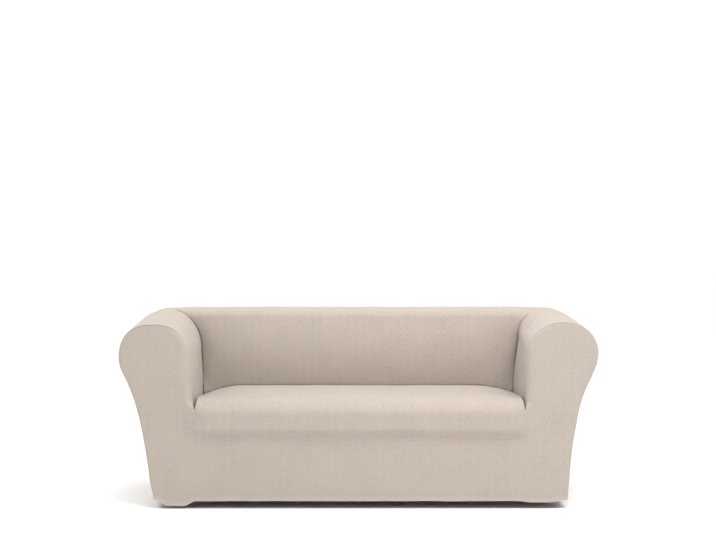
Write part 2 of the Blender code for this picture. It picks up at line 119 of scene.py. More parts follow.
class Thread:
    """A socket of the cloth's shader. Arithmetic on it adds Math nodes."""

    tree = None

    def __init__(self, socket):
        self.socket = socket

    @classmethod
    def node(cls, kind, settings, sockets, output=0):
        """Adds a node: its settings first, and then the values or threads of its sockets."""
        node = cls.tree.nodes.new(kind)
        for name, value in settings.items():
            setattr(node, name, value)
        for name, value in sockets.items():
            if isinstance(value, cls):
                cls.tree.links.new(value.socket, node.inputs[name])
            else:
                node.inputs[name].default_value = value
        return cls(node.outputs[output])

    def maths(self, operation, *others):
        """A Math node of any operation, with this thread first."""
        sockets = dict(enumerate((self, *others)))
        return Thread.node("ShaderNodeMath", {"operation": operation}, sockets)

    def split(self):
        """The three numbers of a vector, each as a thread."""
        parts = Thread.node("ShaderNodeSeparateXYZ", {}, {"Vector": self})
        return [Thread(socket) for socket in parts.socket.node.outputs]

    def __add__(self, other):
        return self.maths("ADD", other)

    def __sub__(self, other):
        return self.maths("SUBTRACT", other)

    def __mul__(self, other):
        return self.maths("MULTIPLY", other)

    __radd__ = __add__
    __rmul__ = __mul__


def ripple(distance, pitch):
    """Rises and falls between 1 and -1, once in each pitch."""
    return (distance * (2 * math.pi / pitch)).maths("SINE")


def line_mark(distance, half_width):
    """1 on a line in the cloth, fading to 0 beside it."""
    return (distance * distance * (-1 / half_width**2)).maths("EXPONENT")


def scattered(place, spots):
    """A noise between 0 and 1, in spots of one kind."""
    sockets = {"Vector": place, "Scale": spots.per_metre, "Detail": spots.detail}
    return Thread.node("ShaderNodeTexNoise", {}, sockets)


def mix_colours(sockets):
    """A Mix node set to colours, whose A, B and Result are its third set of sockets."""
    numbers = {"Factor": 0, "A": 6, "B": 7}
    sockets = {numbers[name]: value for name, value in sockets.items()}
    return Thread.node("ShaderNodeMix", {"data_type": "RGBA"}, sockets, 2)


def knit_cloth():
    """The herringbone, laid out by the place that each point has on its flat panel."""
    material = bpy.data.materials.new("herringbone_stretch_cloth")
    material.use_nodes = True
    Thread.tree = material.node_tree
    shader = material.node_tree.nodes["Principled BSDF"]
    for name, value in CLOTH_FINISH.items():
        shader.inputs[name].default_value = value

    laid = Thread.node("ShaderNodeAttribute", {"attribute_name": "weave"}, {}, "Vector")
    across, along, seam = laid.split()
    zigzag = across.maths("PINGPONG", COLUMN_WIDTH / 2)
    ridge = ripple(along + zigzag * RIDGE_SLOPE, RIDGE_PITCH)
    lean = ripple(across, COLUMN_WIDTH)
    stitch = ripple(across, STITCH_PITCH) * ripple(along, STITCH_PITCH)
    place = Thread.node("ShaderNodeTexCoord", {}, {}, "Object")
    mottle = scattered(place, MOTTLE)
    slub = scattered(place, SLUB)
    dense = (scattered(place, CLOUD) - PATCH_START) * (1 / PATCH_RUN)
    patch = dense.maths("MAXIMUM", 0.0).maths("MINIMUM", 1.0)
    # Painted shade along seams, creases and the seat's contact lines, which also sinks a groove in
    # the bump
    groove_and_painted_shade = line_mark(seam, SEAM_HALF_WIDTH)
    # A painted highlight along the hem's folded edge
    hem_painted_highlight = line_mark(along, HEM_PAINTED_HIGHLIGHT_WIDTH)

    tone = EVEN_MIX + ridge * (RIDGE_TONE + patch * RIDGE_PATCH_TONE)
    tone = tone + lean * LEAN_TONE + stitch * STITCH_TONE
    tone = tone + (mottle - SPOTS_MIDDLE) * MOTTLE_TONE + (slub - SPOTS_MIDDLE) * SLUB_TONE
    yarn = mix_colours({"Factor": tone, "A": DARK_YARN, "B": LIGHT_YARN})
    # The hem's painted highlight, and then the painted shade, are mixed into the yarn's colour
    with_hem_highlight = {"Factor": hem_painted_highlight * HEM_PAINTED_HIGHLIGHT_SHARE, "A": yarn, "B": HEM_PAINTED_HIGHLIGHT}
    with_painted_shade = {"Factor": groove_and_painted_shade * PAINTED_LINE_SHADE_SHARE, "A": mix_colours(with_hem_highlight), "B": PAINTED_LINE_SHADE}
    colour = mix_colours(with_painted_shade)

    relief = ridge * (RIDGE_RAISED + patch * RIDGE_PATCH_RAISED) * (RIDGE_HEIGHT / 2)
    relief = relief + stitch * (STITCH_HEIGHT / 2) - groove_and_painted_shade * SEAM_DEPTH
    raised = {"Height": relief, "Distance": 1.0, "Strength": BUMP_STRENGTH}
    bump = Thread.node("ShaderNodeBump", {}, raised)
    Thread.tree.links.new(colour.socket, shader.inputs["Base Color"])
    Thread.tree.links.new(bump.socket, shader.inputs["Normal"])
    return material


herringbone = knit_cloth()


def clamp(value):
    """A value held between 0 and 1."""
    return np.clip(value, 0.0, 1.0)


def smooth(value):
    """From 0 to 1 with a soft start and a soft end, and level beyond them."""
    value = clamp(value)
    return value * value * (3 - 2 * value)


def mix(first, second, share):
    """Between the first and the second, by the share that the second has."""
    return first + (second - first) * share


def curve_through(keys, values, at, level_end=False):
    """A smooth curve through a table's values, read at other keys."""
    keys, values = np.asarray(keys, float), np.asarray(values, float)
    slopes = np.gradient(values, keys)
    if level_end:
        slopes[-1] = 0.0
    row = np.clip(np.searchsorted(keys, at) - 1, 0, len(keys) - 2)
    span = keys[row + 1] - keys[row]
    t = clamp((at - keys[row]) / span)
    return (
        (2 * t**3 - 3 * t**2 + 1) * values[row]
        + (t**3 - 2 * t**2 + t) * span * slopes[row]
        + (3 * t**2 - 2 * t**3) * values[row + 1]
        + (t**3 - t**2) * span * slopes[row + 1]
    )


def run(points, axis):
    """How far the cloth runs from a grid's first row or column to each of its points."""
    lengths = np.linalg.norm(np.diff(points, axis=axis), axis=2)
    start = np.zeros_like(np.take(lengths, [0], axis=axis))
    return np.concatenate([start, np.cumsum(lengths, axis=axis)], axis=axis)


LEAST_SHOWN = 1e-6


def faded(distance, shown):
    """Distances from a line in the cloth, which let only a share of its mark show."""
    return np.sqrt(distance**2 - SEAM_HALF_WIDTH**2 * np.log(np.clip(shown, LEAST_SHOWN, 1.0)))


TINY_LENGTH = 1e-12


def unit(vectors):
    """The ways of a grid's vectors, each made one metre long."""
    return vectors / np.maximum(np.linalg.norm(vectors, axis=-1, keepdims=True), TINY_LENGTH)


# A soft fold, from one end to the other. A height below 0 is a trough.
Fold = namedtuple("Fold", "start end width height")

# The slow rises and falls of the whole cover: their height, and how fast each wave turns along
# the three axes, in radians to a metre
UNEVEN_HEIGHT = 0.0006
WAVES = [(19, 7, 11), (-8, 16, 21), (31, -12, 9), (13, 29, -17), (-23, 5, 35), (41, 33, 14)]


class Sheet:
    """A panel of cloth, laid up from grids of points that join where their points coincide."""

    MERGE = 1e-5  # points nearer than this are one
    MERGE_SHIFT = 0.37  # keeps round sizes off the borders between two merged places
    FAR = 0.05  # further from a seam than its mark reaches
    SHARP_ANGLE = math.radians(70)

    def __init__(self):
        self.points, self.weave, self.faces, self.count = [], [], [], 0

    def lay(self, points, across, along, seam=FAR, flip=False):
        """Adds a grid, which faces its columns' way crossed with its rows' way unless flipped."""
        rows, columns = points.shape[:2]
        parts = np.broadcast_arrays(across, along, np.minimum(seam, self.FAR), points[:, :, 0])
        number = np.arange(rows * columns).reshape(rows, columns) + self.count
        corners = (number[:-1, :-1], number[:-1, 1:], number[1:, 1:], number[1:, :-1])
        faces = np.stack(corners, axis=-1).reshape(-1, 4)
        self.faces.append(faces[:, ::-1] if flip else faces)
        self.points.append(points.reshape(-1, 3))
        self.weave.append(np.stack(parts[:3], axis=-1).reshape(-1, 3))
        self.count += rows * columns

    def joined(self):
        """The points with the coinciding ones made one, and the faces that keep their width."""
        points, weave = np.concatenate(self.points), np.concatenate(self.weave)
        keys = np.floor(points / self.MERGE + self.MERGE_SHIFT).astype(np.int64)
        _, kept, place = np.unique(keys, axis=0, return_index=True, return_inverse=True)
        faces = place.reshape(-1)[np.concatenate(self.faces)]
        faces = [list(dict.fromkeys(face)) for face in faces.tolist()]
        return points[kept], weave[kept], [face for face in faces if len(face) > 2]

    def cut(self, name, folds):
        """The finished panel: a little uneven, with its folds, and with the cloth's thickness."""
        points, weave, faces = self.joined()
        rise = unevenness(points) + pressed(points, folds) + hem_band(weave[:, 1])
        points = points + outward(points, faces) * rise[:, None]
        inner = points - outward(points, faces) * CLOTH_THICKNESS
        count = len(points)
        back = [[corner + count for corner in reversed(face)] for face in faces]
        edges = {(a, b) for face in faces for a, b in zip(face, face[1:] + face[:1])}
        rims = [[b, a, a + count, b + count] for a, b in edges if (b, a) not in edges]
        mesh = bpy.data.meshes.new(name)
        both = np.concatenate([points, inner]) - ORIGIN
        mesh.from_pydata(both.tolist(), [], faces + back + sorted(rims))
        place = mesh.attributes.new("weave", "FLOAT_VECTOR", "POINT")
        place.data.foreach_set("vector", np.concatenate([weave, weave]).ravel())
        mesh.materials.append(herringbone)
        mesh.shade_smooth()
        mesh.set_sharp_from_angle(angle=self.SHARP_ANGLE)
        mesh.validate()
        panel = bpy.data.objects.new(name, mesh)
        bpy.context.scene.collection.objects.link(panel)
        return panel


def outward(points, faces):
    """Each point's normal, from the faces around it."""
    total = np.zeros_like(points)
    for corners in (3, 4):
        group = np.array([face for face in faces if len(face) == corners], int).reshape(-1, corners)
        first = points[group[:, 2]] - points[group[:, 0]]
        second = points[group[:, -1]] - points[group[:, 1]]
        normal = np.cross(first, second)
        for corner in group.T:
            for axis in range(3):
                total[:, axis] += np.bincount(corner, normal[:, axis], len(points))
    return unit(total)


def unevenness(points):
    """Slow rises and falls of a stretched cloth, the same on both sides of a seam."""
    waves = [np.sin(points @ np.array(wave) + turn) for turn, wave in enumerate(WAVES)]
    return UNEVEN_HEIGHT * sum(waves) / math.sqrt(len(WAVES))


def pressed(points, folds):
    """How far the folds raise each point, or press it in. A fold fades towards its ends."""
    total = np.zeros(len(points))
    for fold in folds:
        start, way = np.array(fold.start), np.array(fold.end) - np.array(fold.start)
        share = clamp((points - start) @ way / (way @ way))
        away = np.linalg.norm(points - start - share[:, None] * way, axis=1)
        total += fold.height * np.sin(np.pi * share) * np.exp(-((away / fold.width) ** 2))
    return total


# The rear and the top of the cover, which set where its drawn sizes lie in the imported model
REAR_DEPTH = 0.830
BACK_TOP = 0.775
ORIGIN = np.array([0, REAR_DEPTH - cad_box[1].y, BACK_TOP - cad_box[1].z])

# The front hem: its height, how far up the rows above follow it, two places where it hangs lower,
# and how it is drawn up at its corners
HEM_HEIGHT = 0.0305
HEM_FOLLOW = 0.120
Dip = namedtuple("Dip", "across half_width run_out drop")
HEM_DIPS = [Dip(-0.735, 0.030, 0.052, 0.020), Dip(0.735, 0.030, 0.060, 0.005)]
HEM_CORNER_START = 0.790
HEM_CORNER_RUN = 0.035
HEM_CORNER_RISE = 0.004

# The hem's fold, from its upper edge inside the cover: how far in, and how far above the hem
Turn = namedtuple("Turn", "inward up")
HEM_FOLD = [
    Turn(0.0060, 0.0200),
    Turn(0.0060, 0.0100),
    Turn(0.0058, 0.0035),
    Turn(0.0045, 0.0008),
    Turn(0.0025, 0.0000),
    Turn(0.0008, 0.0006),
]
HEM_START = 0.0025  # the outer layer starts this far above the fold

# The two layers of the hem: how far up they reach, how proud they stand, and their stitched line
HEM_BAND = 0.015
HEM_BAND_FADE = 0.005
HEM_PROUD = 0.0010
HEM_STITCH_WIDTH = 0.0025
HEM_STITCH_DEPTH = 0.0007


def hem_band(along):
    """The hem's two layers stand a little proud, up to the line that they are stitched along."""
    band = 1 - smooth((along - HEM_BAND) / HEM_BAND_FADE)
    stitched = np.exp(-(((along - HEM_BAND - HEM_BAND_FADE) / HEM_STITCH_WIDTH) ** 2))
    return (HEM_PROUD * band - HEM_STITCH_DEPTH * stitched) * smooth(along / HEM_START)


# Radii of an arm's rounded edges: the front one, which is softer on its inner side, and the rear
# one. The seam lies half way round each, and its groove is this deep and this wide in the round.
FRONT_ROUND = 0.009
INNER_ROUND = 0.028
REAR_ROUND = 0.020
RADIUS_RUN_OUT = 0.035
ROUND_STEPS = 5
SIDE_ANGLE, SEAM_ANGLE, END_ANGLE = math.radians(0), math.radians(45), math.radians(90)
SEAM_GROOVE = 0.0012
SEAM_GROOVE_ANGLE = math.radians(9)

# The depth over which the front corner's hem and the front of the tuck level out
CORNER_RUN = 0.120

# How far from the middle the outside arms reach at each share of the roll's centre height
Flank = namedtuple("Flank", "share left right")
FLANK = [
    Flank(0.00, 0.8225, 0.8450),
    Flank(0.12, 0.8378, 0.8526),
    Flank(0.25, 0.8490, 0.8598),
    Flank(0.40, 0.8622, 0.8690),
    Flank(0.53, 0.8770, 0.8812),
    Flank(0.64, 0.8917, 0.8950),
    Flank(0.74, 0.9092, 0.9152),
    Flank(0.85, 0.9342, 0.9445),
    Flank(0.93, 0.9558, 0.9632),
    Flank(1.00, 0.9640, 0.9690),
]

# An arm's roll at the front: the reach and height of its centre, its half widths outward and
# inward, its rise above the centre, how square its outer and inner sides are, and how much higher
# it lies at the back. Its foot is how far out its inner side stands at the seat's front.
Arm = namedtuple("Arm", "name side reach height outward inward rise square fullness lift foot")
ARMS = [
    Arm("left", -1, 0.822, 0.607, 0.142, 0.142, 0.138, 2.45, 2.25, 0.0270, 0.659),
    Arm("right", 1, 0.830, 0.630, 0.139, 0.150, 0.1245, 2.03, 2.05, 0.0180, 0.675),
]
LIFT_DEPTH = 0.55

# The inner side of an arm's roll at the back. Where the crease beside the inside back is closed,
# the cloth bridges the corner, over this width, and wholly from this angle round the roll on.
RearRoll = namedtuple("RearRoll", "inward rise fullness bridge")
REAR_ROLLS = {
    "left": RearRoll(0.139, 0.168, 2.00, 0.004),
    "right": RearRoll(0.130, 0.124, 2.10, 0.010),
}
BRIDGE_WIDTH = 0.060
BRIDGE_TURN = 45

# The inside arm's wall swings from the roll to the seat late at the front, and soon at the back
FRONT_BEND = 3.0
REAR_BEND = 2.0

# The tuck beside the seat: where it starts at the front, how low and how deep it lies behind, the
# steps down it, and how far out its foot is at the back
TUCK_START = 0.400
TUCK_BOTTOM = 0.355
TUCK_DEPTH = 0.040
TUCK_STEPS = [0.1, 0.25, 0.45, 0.7, 1.0]
REAR_REACH = 0.675
WIDENING_DEPTH = 0.500

# The seat's filling pushes the front forward between these heights and out to this reach. The
# front edges of the arms follow it, over the depth of the pull.
CUSHION_PROUD = 0.028
CUSHION_REACH = 0.600
CUSHION_REACH_FADE = 0.120
CUSHION_TOP = 0.445
CUSHION_TOP_FADE = 0.060
CUSHION_FOOT = 0.272
CUSHION_FOOT_FADE = 0.055
CUSHION_PULL = 0.045

# The inside back's face, from its foot up to the round of its top
FACE_DEPTH = 0.565
FACE_FOOT = 0.420
FACE_LEAN = 0.038
TOP_ROUND = 0.040

# Stations along the arm's section, from the outer hem over the roll to the inner tuck
HEM_ROWS, HEM_ROWS_HEIGHT = 9, 0.024
LOWER_ROWS = 46
HEM_LEVELS = np.linspace(HEM_HEIGHT, HEM_HEIGHT + HEM_ROWS_HEIGHT, HEM_ROWS)
LOWER_LEVELS = np.append(HEM_LEVELS, np.linspace(HEM_LEVELS[-1], TUCK_START, LOWER_ROWS)[1:])
UPPER_STEPS = 28
ROLL_STEPS = 30
CORNER = len(LOWER_LEVELS) - 1
CENTRE = CORNER + UPPER_STEPS
TOP = CENTRE + ROLL_STEPS
INNER = TOP + ROLL_STEPS
BOTTOM = INNER + UPPER_STEPS

# Angles round the roll are in degrees
QUARTER_TURN = 90

# Columns behind the front's rounded edge: up to the inside back's top, and on to the rear edge
SIDE_COLUMNS, TOP_COLUMNS = 86, 22
FACE_TOP_DEPTH = FACE_DEPTH + FACE_LEAN + TOP_ROUND
SIDE_SHARES = np.linspace(0, 1, SIDE_COLUMNS)
TOP_DEPTHS = np.linspace(FACE_TOP_DEPTH, REAR_DEPTH - REAR_ROUND, TOP_COLUMNS)[1:]

# How open the crease beside the inside back is, by the angle from the roll's top inwards, and how
# dark the painted shade along its line is
Crease = namedtuple("Crease", "angle left right left_mark right_mark")
CREASES = [
    Crease(0, 0.0, 0.0, 0.25, 0.0),
    Crease(9, 0.0, 0.0, 0.40, 0.0),
    Crease(18, 0.10, 0.0, 0.45, 0.0),
    Crease(36, 0.30, 0.0, 0.50, 0.0),
    Crease(54, 0.55, 0.08, 0.60, 0.08),
    Crease(72, 0.85, 0.50, 0.80, 0.35),
    Crease(90, 1.0, 1.0, 1.0, 0.80),
]

# Where the front seam shows, by the angle over the roll from its outer side, and how strongly
SEAM_FROM, SEAM_FROM_RUN = 25, 35
SEAM_TO, SEAM_TO_RUN = 115, 40
SEAM_SHOWN = {"left": 1.0, "right": 0.85}

# The back stands a little higher than the arms' rear ends: over what share of the half width it
# rises to its own height, and over what angle round the roll
SHOULDER_SHARE = 0.080
SHOULDER_TURN = 45


def front_hem(across):
    """Height of the front hem, lower at two places near its ends and drawn up at the corners."""
    height = HEM_HEIGHT
    height = height + HEM_CORNER_RISE * smooth((abs(across) - HEM_CORNER_START) / HEM_CORNER_RUN)
    for dip in HEM_DIPS:
        away = (abs(across - dip.across) - dip.half_width) / dip.run_out
        height = height - dip.drop * (1 - smooth(away))
    return height


def follow_hem(height, hem):
    """Lets the lowest rows of a panel rise and fall with its hem."""
    return height + (hem - HEM_HEIGHT) * clamp(1 - (height - HEM_HEIGHT) / HEM_FOLLOW)


def turned_in(rows, inward):
    """A panel's rows with its hem's fold below them, which is turned in the inward way."""
    fold = [rows[0] + inward * turn.inward + [0, 0, turn.up] for turn in HEM_FOLD]
    rows = rows.copy()
    rows[0, :, 2] += HEM_START
    return np.concatenate([fold, rows])


def hemmed(along):
    """The places along a panel's rows, with those of its hem's fold before them."""
    fold = [np.full_like(along[0], -turn.up) for turn in HEM_FOLD]
    return np.concatenate([fold, along])


def front_depth(across, height):
    """Depth of the front: flat, but for the seat's filling that pushes it forward."""
    width = 1 - smooth((abs(across) - CUSHION_REACH) / CUSHION_REACH_FADE)
    top = smooth((CUSHION_TOP - height) / CUSHION_TOP_FADE)
    foot = smooth((height - CUSHION_FOOT) / CUSHION_FOOT_FADE)
    return -CUSHION_PROUD * width * top * foot


def face_depth(height):
    """Depth of the inside back, which leans back and rounds over at its top."""
    top = BACK_TOP - TOP_ROUND
    lean = FACE_LEAN * clamp((height - FACE_FOOT) / (top - FACE_FOOT))
    over = np.clip(height - top, 0.0, TOP_ROUND)
    return FACE_DEPTH + lean + TOP_ROUND - np.sqrt(TOP_ROUND**2 - over**2)


def inner_reach(arm, depth):
    """Reach of the inside arm at the foot of the tuck, which widens a little to the back."""
    return mix(arm.foot, REAR_REACH, clamp(depth / WIDENING_DEPTH))


def arm_section(arm, depth):
    """How far out and how high each station of the arm is, at its own depth in each column."""
    depth = np.broadcast_to(depth, (BOTTOM + 1, np.shape(depth)[1]))
    back = clamp(depth / LIFT_DEPTH)
    centre = arm.height + arm.lift * back
    section = np.empty((*depth.shape, 2))
    flank, outer = slice(0, CENTRE + 1), slice(CENTRE + 1, TOP + 1)
    inner, wall = slice(TOP + 1, INNER + 1), slice(INNER + 1, None)

    upper = np.linspace(TUCK_START, arm.height, UPPER_STEPS + 1)[1:]
    level = np.append(LOWER_LEVELS, upper)[:, None]
    share = (level - HEM_HEIGHT) / (arm.height - HEM_HEIGHT)
    reaches = [getattr(row, arm.name) for row in FLANK]
    corner = mix(front_hem(arm.side * FLANK[0].left), HEM_HEIGHT, smooth(depth[flank] / CORNER_RUN))
    section[flank, :, 0] = curve_through([row.share for row in FLANK], reaches, share, True)
    section[flank, :, 1] = follow_hem(mix(HEM_HEIGHT, centre[flank], share), corner)

    turn = np.linspace(0, math.pi / 2, ROLL_STEPS + 1)[1:, None]
    section[outer, :, 0] = arm.reach + arm.outward * np.cos(turn) ** (2 / arm.square)
    section[outer, :, 1] = centre[outer] + arm.rise * np.sin(turn) ** (2 / arm.square)

    rear = REAR_ROLLS[arm.name]
    inward = mix(arm.inward, rear.inward, back)
    rise = mix(arm.rise, rear.rise, back)
    power = 2 / mix(arm.fullness, rear.fullness, back)
    waist = centre + arm.rise - rise
    section[inner, :, 0] = arm.reach - inward[inner] * np.sin(turn) ** power[inner]
    section[inner, :, 1] = waist[inner] + rise[inner] * np.cos(turn) ** power[inner]

    down = np.linspace(0, 1, UPPER_STEPS + 1)[1:, None]
    foot = mix(TUCK_START, TUCK_BOTTOM, smooth(depth[wall] / CORNER_RUN))
    bend = mix(down**FRONT_BEND, 1 - (1 - down) ** REAR_BEND, back[wall])
    section[wall, :, 0] = mix(arm.reach - inward[wall], inner_reach(arm, depth[wall]), bend)
    section[wall, :, 1] = mix(waist[wall], foot, down)
    return section


def arm_points(arm, depth, inset=0.0):
    """Points of the arm's surface at each station, or as far inside it as the inset."""
    section = arm_section(arm, depth)
    along = unit(np.gradient(section, axis=0))
    reach = section[:, :, 0] - along[:, :, 1] * inset
    height = section[:, :, 1] + along[:, :, 0] * inset
    pull = front_depth(reach, height) * (1 - smooth(depth / CUSHION_PULL))
    return np.stack([arm.side * reach, depth + pull, height], axis=2)


def seam_shown(arm):
    """How strongly the front seam shows at each station. It is drawn tight over the roll only."""
    turned = (np.arange(BOTTOM + 1)[:, None] - CENTRE) * QUARTER_TURN / ROLL_STEPS
    start = smooth((turned - SEAM_FROM) / SEAM_FROM_RUN)
    end = smooth((turned - SEAM_TO) / SEAM_TO_RUN)
    return SEAM_SHOWN[arm.name] * start * (1 - end)


def front_seam_shown(arm):
    """The same for the stations of the hem's fold, where no seam shows, and then for the others."""
    return np.concatenate([np.zeros((len(HEM_FOLD), 1)), seam_shown(arm)])


def round_edge(radius, angles, shown):
    """Inset and depth over a rounded edge, from the side to the end, with its seam sunk."""
    groove = SEAM_GROOVE * shown * np.exp(-(((angles - SEAM_ANGLE) / SEAM_GROOVE_ANGLE) ** 2))
    groove = groove * clamp(radius / FRONT_ROUND) * math.sin(SEAM_ANGLE)
    return radius * (1 - np.cos(angles)) + groove, radius * (1 - np.sin(angles)) + groove


def front_radius(arm):
    """Radius of the rounded front edge, which runs out where the tuck beside the seat ends."""
    heights = arm_section(arm, np.zeros((1, 1)))[:, :, 1]
    run_out = smooth((heights - TUCK_START) / RADIUS_RUN_OUT)
    inside = np.arange(BOTTOM + 1)[:, None] - TOP
    softer = mix(FRONT_ROUND, INNER_ROUND, smooth(inside / ROLL_STEPS))
    return softer * np.where(inside > 0, run_out, 1.0)


def front_edge(arm, angles):
    """The arm's rounded front edge, at angles from its side to its front."""
    inset, depth = round_edge(front_radius(arm), angles[None, :], seam_shown(arm))
    return arm_points(arm, depth, inset)


def rear_edge(arm, angles):
    """The arm's rounded rear edge, at angles from its side to its rear."""
    inset, depth = round_edge(REAR_ROUND, angles[None, :], 1.0)
    return arm_points(arm, REAR_DEPTH - depth, inset)


def turned_inwards():
    """The angle from the roll's top at each station from there to the foot of the tuck."""
    roll = np.linspace(0, QUARTER_TURN, ROLL_STEPS + 1)
    return np.append(roll, np.full(UPPER_STEPS, QUARTER_TURN))


def crease_column(name):
    """One column of the creases' table, read at each station from the roll's top inwards."""
    values = [getattr(row, name) for row in CREASES]
    return clamp(curve_through([row.angle for row in CREASES], values, turned_inwards()))[:, None]


def open_crease(arm):
    """How open the crease beside an arm is, at each station from the roll's top inwards."""
    return crease_column(arm.name)


def crease_mark(arm):
    """How dark the painted shade along the crease is, at each station from the roll's top inwards.
    """
    return crease_column(f"{arm.name}_mark")


def eased(arm):
    """Heights of the inside back beside an arm, eased up to the back's own top."""
    heights = arm_section(arm, np.full((1, 1), REAR_DEPTH))[TOP:, :, 1]
    turned = turned_inwards()[:, None]
    return heights + (BACK_TOP - heights[0]) * (1 - smooth(turned / SHOULDER_TURN))


def bridged(arm):
    """How the corner of arm and inside back is filled out where its crease is closed."""
    section = arm_section(arm, np.full((1, 1), REAR_DEPTH))[TOP:, 0]
    way = unit(np.gradient(section, axis=0))
    out = np.stack([way[:, 1] * arm.side, np.full(len(way), -1.0), -way[:, 0]], axis=1)
    out = out / math.sqrt(2) * REAR_ROLLS[arm.name].bridge
    return out * smooth(turned_inwards()[:, None] / BRIDGE_TURN) * (1 - open_crease(arm))


def bridge_share(away):
    """How much of the filled corner a point has, by how far it is from the crease."""
    return clamp(1 - away / BRIDGE_WIDTH) ** 2


def around(angles, side, end):
    """The inward way of a hem round a corner, from the side to the end of the arm."""
    return np.stack([-side * np.cos(angles), end * np.sin(angles), 0 * angles], axis=1)


ARM_FOLDS = {
    "left": [
        Fold((-0.70, 0.30, 0.70), (-0.69, 0.52, 0.50), 0.045, 0.0016),
        Fold((-0.72, 0.05, 0.73), (-0.80, 0.30, 0.775), 0.050, -0.0012),
    ],
    "right": [
        Fold((0.70, 0.25, 0.60), (0.69, 0.50, 0.47), 0.040, -0.0014),
        Fold((0.722, 0.10, 0.700), (0.722, 0.58, 0.720), 0.034, -0.0060),
    ],
}

for arm in ARMS:
    # Outside, from the hem over the roll to its top, and from the front seam to the rear seam
    front_angles = np.linspace(SEAM_ANGLE, SIDE_ANGLE, ROUND_STEPS + 1)[:-1]
    rear_angles = np.linspace(SIDE_ANGLE, SEAM_ANGLE, ROUND_STEPS + 1)[1:]
    radius = front_radius(arm)
    front = front_edge(arm, front_angles)
    side = arm_points(arm, mix(radius, FACE_TOP_DEPTH, SIDE_SHARES[None, :]))
    rear = [arm_points(arm, TOP_DEPTHS[None, :]), rear_edge(arm, rear_angles)]
    outer = np.concatenate([front, side, *rear], axis=1)[: TOP + 1]
    straight = np.zeros(outer.shape[1] - 2 * ROUND_STEPS)
    inward = [around(front_angles, arm.side, 1), around(straight, arm.side, 1)]
    inward.append(around(rear_angles, arm.side, -1))
    outer = turned_in(outer, np.concatenate(inward))
    along = run(outer, 0)
    along = along - along[len(HEM_FOLD)]
    shown = front_seam_shown(arm)
    front_seam = faded(run(outer, 1), shown[: len(outer)])
    seam = np.minimum(front_seam, run(outer[:, ::-1], 1)[:, ::-1])
    panel = Sheet()
    panel.lay(outer, outer[:, :, 1], along, seam, flip=arm.side < 0)

    # Inside, from the roll's top down to the foot of the tuck, and from the front to the crease
    crease = np.concatenate([np.full((TOP, 1), FACE_TOP_DEPTH), face_depth(eased(arm))])
    tuck = np.concatenate([np.zeros((TOP, 1)), open_crease(arm)]) * TUCK_DEPTH
    depths = [mix(radius, crease, SIDE_SHARES[None, :]), crease + tuck * np.array(TUCK_STEPS)]
    depths = np.concatenate(depths, axis=1)
    inner = np.concatenate([front, arm_points(arm, depths)], axis=1)[TOP:]
    near = bridge_share(np.maximum(crease[TOP:] - inner[:, :, 1], 0))
    inner = inner + bridged(arm)[:, None, :] * near[:, :, None]
    along = run(inner, 0) + along[-1, : inner.shape[1]]
    forward = run(inner, 1)
    # Painted shade lies along the front seam and along the crease beside the inside back
    beside = np.maximum(forward[:, [-1 - len(TUCK_STEPS)]] - forward, 0)
    seam = np.minimum(faded(forward, shown[-len(inner) :]), faded(beside, crease_mark(arm)))
    panel.lay(inner, inner[:, :, 1], along, seam, flip=arm.side < 0)

    piece = panel.cut(f"{arm.name}_arm_cloth", ARM_FOLDS[arm.name])
    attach(piece, "root")
    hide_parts(f"{arm.name}_arm")

# ---- Seat -------------------------------------------------------------------------------------
# Seat, rounded seat front and apron are one panel of the same cloth. It is tucked down beside the
# arms and under the inside back, sewn to the arm fronts below its corners, and hemmed at its foot.

# The seat's crown: how far it drops beside the left and the right arm, from what share of the
# half width on, and over what depth it grows to that
CROWN_DROPS = (0.047, 0.036)
CROWN_START = 0.75
CROWN_POWER = 1.8
CROWN_RUN = 0.50

# The small round at each of the seat's front corners, which fades out behind the front
SEAT_CORNER_START = 0.988
SEAT_CORNER_DROP = 0.040
FRONT_DEPTH = 0.04
FRONT_FADE = 0.12

# The tucks: how far the seat stays off an arm at the mouth and below it, what share of the way
# down that takes, and from what share of its full depth on a tuck lies beside the arm
SIDE_INSET = 0.003
TUCK_GAP = 0.0008
TUCK_TURN = 0.25
TUCK_RUN_OUT = 0.25

# At the back, the seat's foot stays off the inside back, and the tucks come to hang straight down
FACE_GAP = 0.004
REAR_RUN = 0.050

# The painted shade along the lines where the seat meets the inside back and the arms
CONTACT_RUN = 0.012
CONTACT_ROWS = 14
CONTACT_DROP = 0.004
SIDE_MARK = 0.55
SIDE_MARK_RUN = 0.125

SEAT_ROWS = 86
SEAT_COLUMNS = 169

# The seat's middle line from the back to the front, and how much of the tuck each place has
Seat = namedtuple("Seat", "depth height tuck")
SEAT = [
    Seat(FACE_DEPTH - FACE_GAP, 0.4180, 1.00),
    Seat(0.553, 0.4330, 1.00),
    Seat(0.540, 0.4430, 1.00),
    Seat(0.520, 0.4495, 1.00),
    Seat(0.490, 0.4520, 1.00),
    Seat(0.430, 0.4520, 1.00),
    Seat(0.340, 0.4500, 1.00),
    Seat(0.240, 0.4482, 1.00),
    Seat(0.160, 0.4472, 1.00),
    Seat(0.100, 0.4460, 1.00),
    Seat(0.055, 0.4430, 0.90),
    Seat(0.025, 0.4370, 0.75),
    Seat(0.003, 0.4270, 0.55),
    Seat(-0.0125, 0.4145, 0.30),
    Seat(front_depth(0.0, TUCK_START), TUCK_START, 0.00),
]

# Columns across the seat and the back, as shares of the half width, closer at the ends, and as
# shares of the way from the left arm to the right one
CROWDING = 0.35
spread = np.linspace(-1, 1, SEAT_COLUMNS)
SHARES = (1 + CROWDING) * spread - CROWDING * spread**3
RIGHTWARD = (SHARES + 1) / 2

# The way in which the front hems turn in
REARWARD = np.array([0.0, 1.0, 0.0])


def by_side(left, right):
    """A value for each column, from those beside the left and the right arm."""
    return np.where(SHARES < 0, left, right)


